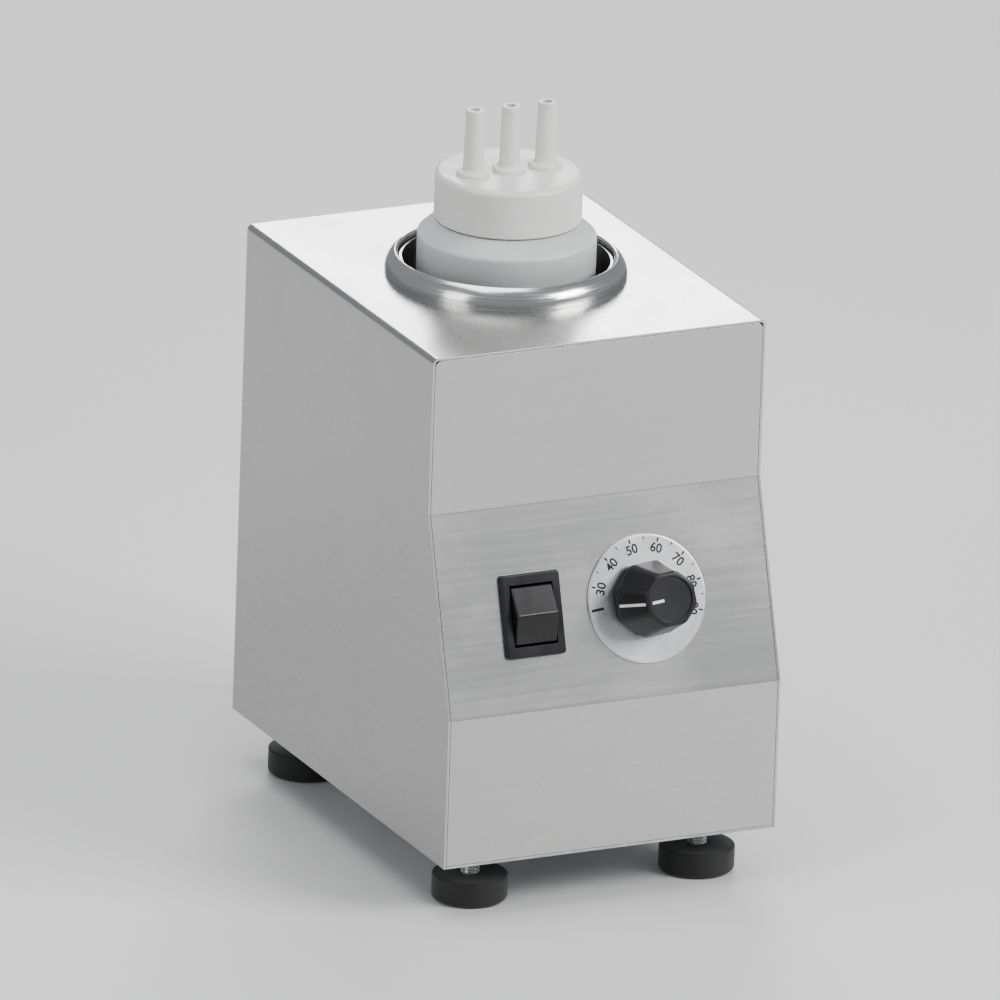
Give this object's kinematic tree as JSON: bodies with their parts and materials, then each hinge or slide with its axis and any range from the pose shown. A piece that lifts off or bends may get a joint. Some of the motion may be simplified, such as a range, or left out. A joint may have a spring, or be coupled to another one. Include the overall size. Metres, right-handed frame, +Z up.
{
  "type": "nacho cheese dispenser",
  "caption": "Countertop cheese sauce warmer: steel housing with sloped control panel, heated well in the top and a squeeze bottle with a nozzle cap standing in it.",
  "frame": {"origin": "on the table under the middle of the object's overall width and depth", "axes": "+Z up; the control panel faces -Y; +X to the right of someone facing the panel"},
  "size_m": [0.15, 0.2275, 0.307],
  "materials": {
    "stainless": "brushed",
    "stainless_polished": "polished",
    "galvanised": "satin",
    "zinc": "bright zinc",
    "heater_skin": "matte",
    "silicone": "matte",
    "insulation": "matte",
    "copper": "satin",
    "brass": "satin",
    "phenolic": "matte",
    "dial_silver": "satin",
    "knob_black": "satin",
    "switch_black": "gloss",
    "rubber": "matte",
    "ceramic": "glazed",
    "lead_brown": "matte",
    "lead_blue": "matte",
    "lead_green": "matte",
    "bottle_plastic": "translucent satin",
    "cap_plastic": "satin"
  },
  "bodies": {
    "housing": {"back_panel": "stainless", "back_panel_screws": "zinc", "base_plate": "galvanised", "base_screws": "zinc", "bulb_clips": "galvanised", "bushing_nut": "zinc", "capillary_tube": "copper", "collar_retaining_ring": "galvanised", "collar_seal": "silicone", "cutout_studs": "zinc", "dial_plate": "dial_silver", "earth_eyelet": "brass", "earth_stud": "zinc", "foot_lock_nuts": "zinc", "foot_weld_nuts": "zinc", "front_panel": "stainless", "hanger_nuts": "zinc", "hanger_spacers": "zinc", "hanger_studs": "zinc", "heater_band": "heater_skin", "heater_clamp_screws": "zinc", "heater_terminals": "brass", "insulation_jacket": "insulation", "leads_earth": "lead_green", "leads_live": "lead_brown", "leads_neutral": "lead_blue", "power_inlet": "switch_black", "power_inlet_pins": "brass", "power_inlet_screws": "zinc", "sensor_bulb": "copper", "switch_housing": "switch_black", "switch_terminals": "brass", "terminal_block": "ceramic", "terminal_block_inserts": "brass", "thermal_cutout": "phenolic", "thermostat_capsule": "galvanised", "thermostat_contact_base": "phenolic", "thermostat_frame": "galvanised", "thermostat_terminals": "brass", "top_and_sides_cover": "stainless", "well_collar": "stainless_polished", "well_cup": "stainless_polished"},
    "bottle": {"bottle": "bottle_plastic"},
    "cap_liner": {"cap_gasket": "silicone"},
    "cap": {"bottle_cap": "cap_plastic", "nozzle_left": "cap_plastic", "nozzle_middle": "cap_plastic", "nozzle_right": "cap_plastic"},
    "knob": {"knob": "knob_black", "thermostat_shaft": "zinc"},
    "rocker": {"switch_rocker": "switch_black"},
    "contact_arms": {"switch_contact_arms": "brass"},
    "foot_front_left": {"foot_pad_front_left": "rubber", "foot_stud_front_left": "zinc"},
    "foot_front_right": {"foot_pad_front_right": "rubber", "foot_stud_front_right": "zinc"},
    "foot_back_left": {"foot_pad_back_left": "rubber", "foot_stud_back_left": "zinc"},
    "foot_back_right": {"foot_pad_back_right": "rubber", "foot_stud_back_right": "zinc"}
  },
  "joints": [
    {"name": "bottle_lift", "type": "slide", "parent": "housing", "child": "bottle", "axis": [0, 0, 1], "range_m": [0, 0.2]},
    {"name": "cap_rise", "type": "slide", "parent": "bottle", "child": "cap_liner", "axis": [0, 0, 1], "range_m": [0, 0.0181]},
    {"name": "cap_turn", "type": "hinge", "parent": "cap_liner", "child": "cap", "pos_m": [0, 0.01832, 0.269], "axis": [0, 0, 1], "range_deg": [0, 1080]},
    {"name": "knob_turn", "type": "hinge", "parent": "housing", "child": "knob", "pos_m": [0.0185, -0.08633, 0.12525], "axis": [0, 0.9516, -0.3073], "range_deg": [0, 202.5]},
    {"name": "rocker_tilt", "type": "hinge", "parent": "housing", "child": "rocker", "pos_m": [-0.0334, -0.08464, 0.12397], "axis": [1, 0, 0], "range_deg": [0, 18]},
    {"name": "contact_tilt", "type": "hinge", "parent": "housing", "child": "contact_arms", "pos_m": [-0.0334, -0.07017, 0.1193], "axis": [1, 0, 0], "range_deg": [-12, 0]},
    {"name": "foot_turn_front_left", "type": "hinge", "parent": "housing", "child": "foot_front_left", "pos_m": [-0.0515, -0.07448, 0.02], "axis": [0, 0, 1], "range_deg": [-1440, 2160]},
    {"name": "foot_turn_front_right", "type": "hinge", "parent": "housing", "child": "foot_front_right", "pos_m": [0.0515, -0.07448, 0.02], "axis": [0, 0, 1], "range_deg": [-1440, 2160]},
    {"name": "foot_turn_back_left", "type": "hinge", "parent": "housing", "child": "foot_back_left", "pos_m": [-0.0515, 0.08632, 0.02], "axis": [0, 0, 1], "range_deg": [-1440, 2160]},
    {"name": "foot_turn_back_right", "type": "hinge", "parent": "housing", "child": "foot_back_right", "pos_m": [0.0515, 0.08632, 0.02], "axis": [0, 0, 1], "range_deg": [-1440, 2160]}
  ],
  "couplings": [
    {"joint": "cap_rise", "follows": "cap_turn", "m_per_rad": 0.00095493},
    {"joint": "contact_tilt", "follows": "rocker_tilt", "ratio": -0.6666}
  ]
}
